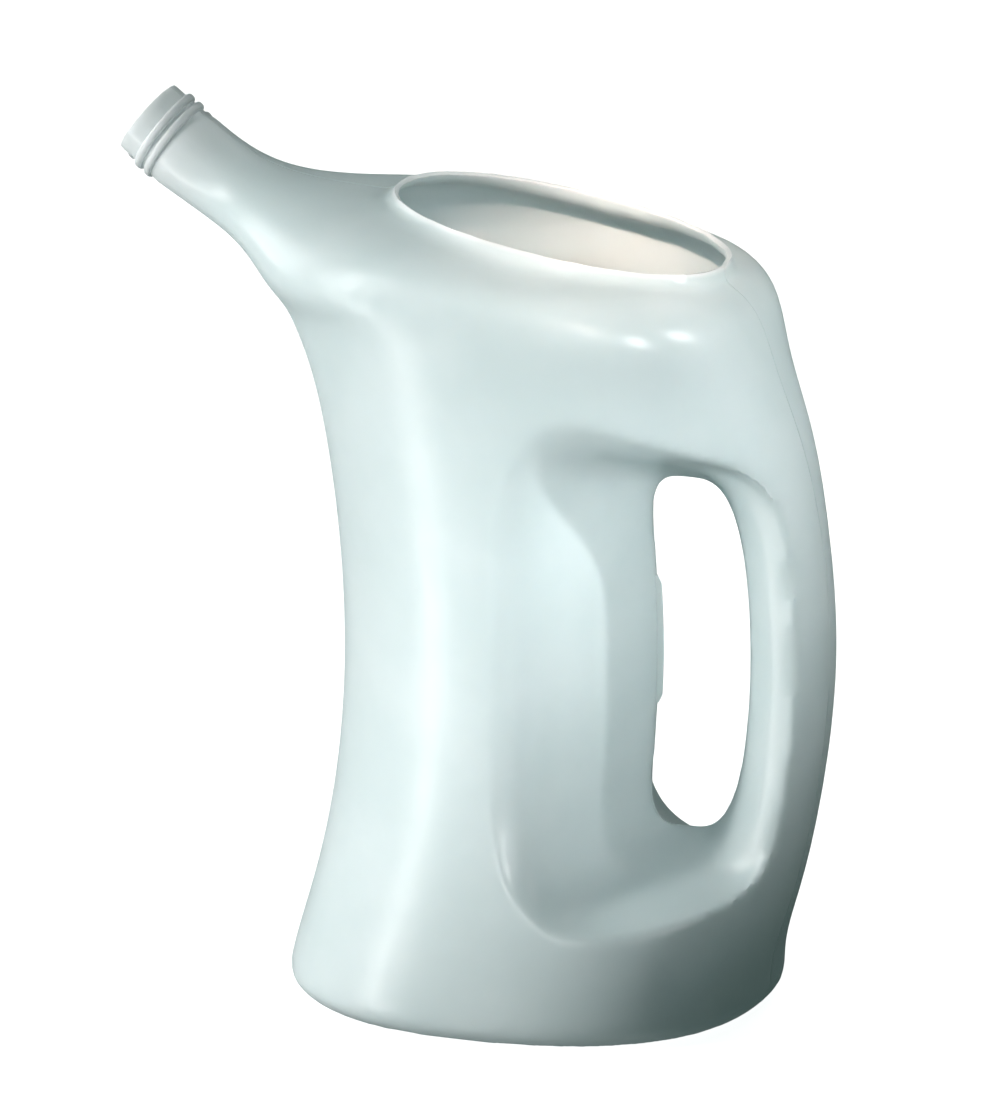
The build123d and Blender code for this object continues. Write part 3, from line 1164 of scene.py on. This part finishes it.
@dataclass(frozen=True)
class Studio:
    """The camera, the pale floor, the lights and the dim surroundings.

    Args:
        target: the point that the camera looks at, in metres.
        azimuth: the camera's degrees round the can, as for a soft box.
        elevation: its degrees above the level.
        distance: its distance from target, in metres.
        lens: its focal length in mm.
        boxes: the soft boxes.
        spots: the spots.
        bright_side: azimuth and elevation of the surroundings' brightest place.
        bright: the surroundings' colour there.
        dim: their colour on the other side.
        paper: the floor's colour.
        paper_glow: how strongly the floor glows.
    """

    target: tuple[float, float, float]
    azimuth: float = 20.5
    elevation: float = 15.5
    distance: float = 2.6
    lens: float = 360.0
    boxes: tuple[SoftBox, ...] = (
        SoftBox("key_left", -50.0, 28.0, (0.5, 0.8), 5.6, "#FFFDFB"),
        SoftBox("strip_left", -49.0, 2.0, (0.12, 1.9), 12.0, "#FFFDFB", 1.3),
        SoftBox("edge_left", -95.0, 20.0, (0.6, 0.9), 6.5),
        SoftBox("back_right", 160.0, 50.0, (0.8, 0.8), 2.5),
    )
    spots: tuple[SoftSpot, ...] = (
        SoftSpot("front_high", 20.0, 14.0, (-0.016, 0.0, 0.18), 7.2, 27.0, radius=0.09),
        SoftSpot("front_low", 14.0, 10.0, (-0.03, -0.03, 0.05), 3.9, 84.0, radius=0.07),
        SoftSpot("front_right", 50.0, 11.0, (0.027, -0.035, 0.129), 5.1, 165.0, radius=0.07),
        SoftSpot("side_right", 92.0, 24.0, (0.05, 0.0, 0.168), 5.6, 118.0, radius=0.08),
        SoftSpot("into_mouth", 15.0, 26.0, (0.028, 0.045, 0.198), 2.4, 280.0, "#FFE3D4", 0.03),
    )
    bright_side: tuple[float, float] = (-60.0, -30.0)
    bright: str = "#788282"
    dim: str = "#455451"
    paper: str = "#F4F6F6"
    paper_glow: float = 0.9

    def camera(self) -> None:
        """Makes the camera, which looks at target from the chosen angle."""
        aim = Vector(self.target)
        back = from_around(self.azimuth, self.elevation)
        bpy.ops.object.camera_add(location=aim + back * self.distance)
        camera = bpy.context.object
        camera.rotation_euler = (-back).to_track_quat("-Z", "Y").to_euler()
        camera.data.lens = self.lens
        camera.data.sensor_width = 36.0
        camera.data.sensor_fit = "HORIZONTAL"
        camera.data.clip_end = 60.0
        bpy.context.scene.camera = camera

    def lamp(
        self, kind: str, name: str, place: Vector, out: Vector, power: float, colour: str
    ) -> bpy.types.Light:
        """Adds one light that looks back along out.

        Args:
            kind: AREA or SPOT.
            name: the light's name.
            place: where it stands.
            out: the direction from what it lights to the light.
            power: watts.
            colour: its colour.

        Returns:
            The light's own data.
        """
        bpy.ops.object.light_add(type=kind, location=place)
        light = bpy.context.object
        light.name = light.data.name = name
        light.rotation_euler = (-out).to_track_quat("-Z", "Y").to_euler()
        light.data.energy = power
        light.data.color = hex_to_linear(colour)[:3]
        return light.data

    def lights(self) -> None:
        """Makes the soft boxes and the spots."""
        for box in self.boxes:
            out = from_around(box.azimuth, box.elevation)
            place = Vector(self.target) + out * box.distance
            data = self.lamp("AREA", box.name, place, out, box.power, box.colour)
            data.shape = "RECTANGLE"
            data.size, data.size_y = box.size
        for spot in self.spots:
            out = from_around(spot.azimuth, spot.elevation)
            place = Vector(spot.aim) + out * spot.distance
            data = self.lamp("SPOT", spot.name, place, out, spot.power, spot.colour)
            data.spot_size = math.radians(spot.cone)
            data.spot_blend = 1.0
            data.shadow_soft_size = spot.radius

    def floor(self) -> bpy.types.Object:
        """Makes the plain white floor, which glows so that it stays even.

        Returns:
            The floor.
        """
        bpy.ops.mesh.primitive_plane_add(size=40.0, location=(0, 0, -0.0002))
        floor = bpy.context.object
        floor.name = floor.data.name = "floor"
        material = bpy.data.materials.new("white_paper_sweep")
        material.use_nodes = True
        tree = NodeTree(material.node_tree)
        paper = tree.add(
            "BsdfPrincipled",
            None,
            {
                "Base Color": hex_to_linear(self.paper),
                "Roughness": 0.9,
                "Specular IOR Level": 0.1,
                "Emission Color": hex_to_linear("#FFFFFF"),
                "Emission Strength": self.paper_glow,
            },
        )
        tree.add("OutputMaterial", {"Surface": paper.outputs[0]})
        floor.data.materials.append(material)
        floor.visible_diffuse = False
        floor.visible_glossy = False
        floor.visible_transmission = False
        floor.visible_shadow = False
        return floor

    def surroundings(self) -> None:
        """Grades the surroundings from grey, low on the key's side, to a dimmer teal grey."""
        world = bpy.data.worlds.new("studio_surroundings")
        world.use_nodes = True
        tree = NodeTree(world.node_tree)
        place = tree.add("TexCoord").outputs["Generated"]
        towards = tuple(from_around(*self.bright_side))
        share = tree.add("VectorMath", {0: place}, {1: towards}, operation="DOT_PRODUCT").outputs["Value"]
        share = tree.ramp(share, 0.0, 0.9)
        colour = tree.mix(share, hex_to_linear(self.dim), hex_to_linear(self.bright))
        sky = tree.add("Background", {"Color": colour}, {"Strength": 1.0})
        tree.add("OutputWorld", {"Surface": sky.outputs[0]})
        bpy.context.scene.world = world

    def build(self) -> None:
        """Makes the whole studio, shown with plain sRGB colours."""
        bpy.context.scene.view_settings.view_transform = "Standard"
        self.camera()
        self.lights()
        self.floor()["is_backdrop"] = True
        self.surroundings()


# --------------------------------------------------------------------------------- main
def hand_over(obj: bpy.types.Object, materials: list[bpy.types.Material], *nodes: str) -> None:
    """Gives a piece its finish and ties it to the frame.

    Args:
        obj: the finished piece.
        materials: its materials, in slot order.
        *nodes: the CAD nodes that it stands for.
    """
    obj.data.materials.clear()
    for material in materials:
        obj.data.materials.append(material)
    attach(obj, BODY)
    if nodes:
        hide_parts(*nodes)
    LOG.info("%s: %d faces", obj.name, len(obj.data.polygons))


def keep_inside(obj: bpy.types.Object, low: Vector, high: Vector) -> None:
    """Moves the few points that stick out of the CAD box back onto it.

    Args:
        obj: a finished piece.
        low: the box's lowest corner, in metres.
        high: its highest corner.
    """
    move_points(obj, np.clip(points_of(obj), np.array(low), np.array(high)))


def main() -> None:
    """Builds the can and its studio in order."""
    logging.basicConfig(level=logging.INFO, format="%(name)s: %(message)s")
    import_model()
    low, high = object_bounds()
    layout = Layout.from_frame()
    outside = BlownPolyethylene(layout).build()
    # the inside wall's finish: a lighter, warm copy of the plastic, with the light seen inside the mouth
    # painted into its colour
    inside = BlownPolyethylene(layout, Zone.INSIDE, "#F5EFEA", "#F2E4D9", "#F6F2EE", 0.45).build()
    trim = BlownPolyethylene(layout, Zone.TRIM, "#E2F1F0", "#DCEEED", "#F2F9F8", 0.4).build()

    moulding = Moulding(layout)
    wall = moulding.build()
    seam = PartingSeam(wall).build()
    moulding.thicken(wall)
    thread = ScrewThread(moulding).build()
    flash = TrimFlash(moulding).build()
    for obj in (wall, seam, thread, flash):
        keep_inside(obj, low, high)

    hand_over(wall, [outside, inside], *WALL_ZONES)
    hand_over(thread, [outside], "neck_thread")
    hand_over(seam, [trim])
    hand_over(flash, [trim])

    middle = layout.to_frame(np.array(CAMERA_TARGET))
    Studio(tuple(float(v) for v in middle)).build()


if __name__ == "__main__":
    main()
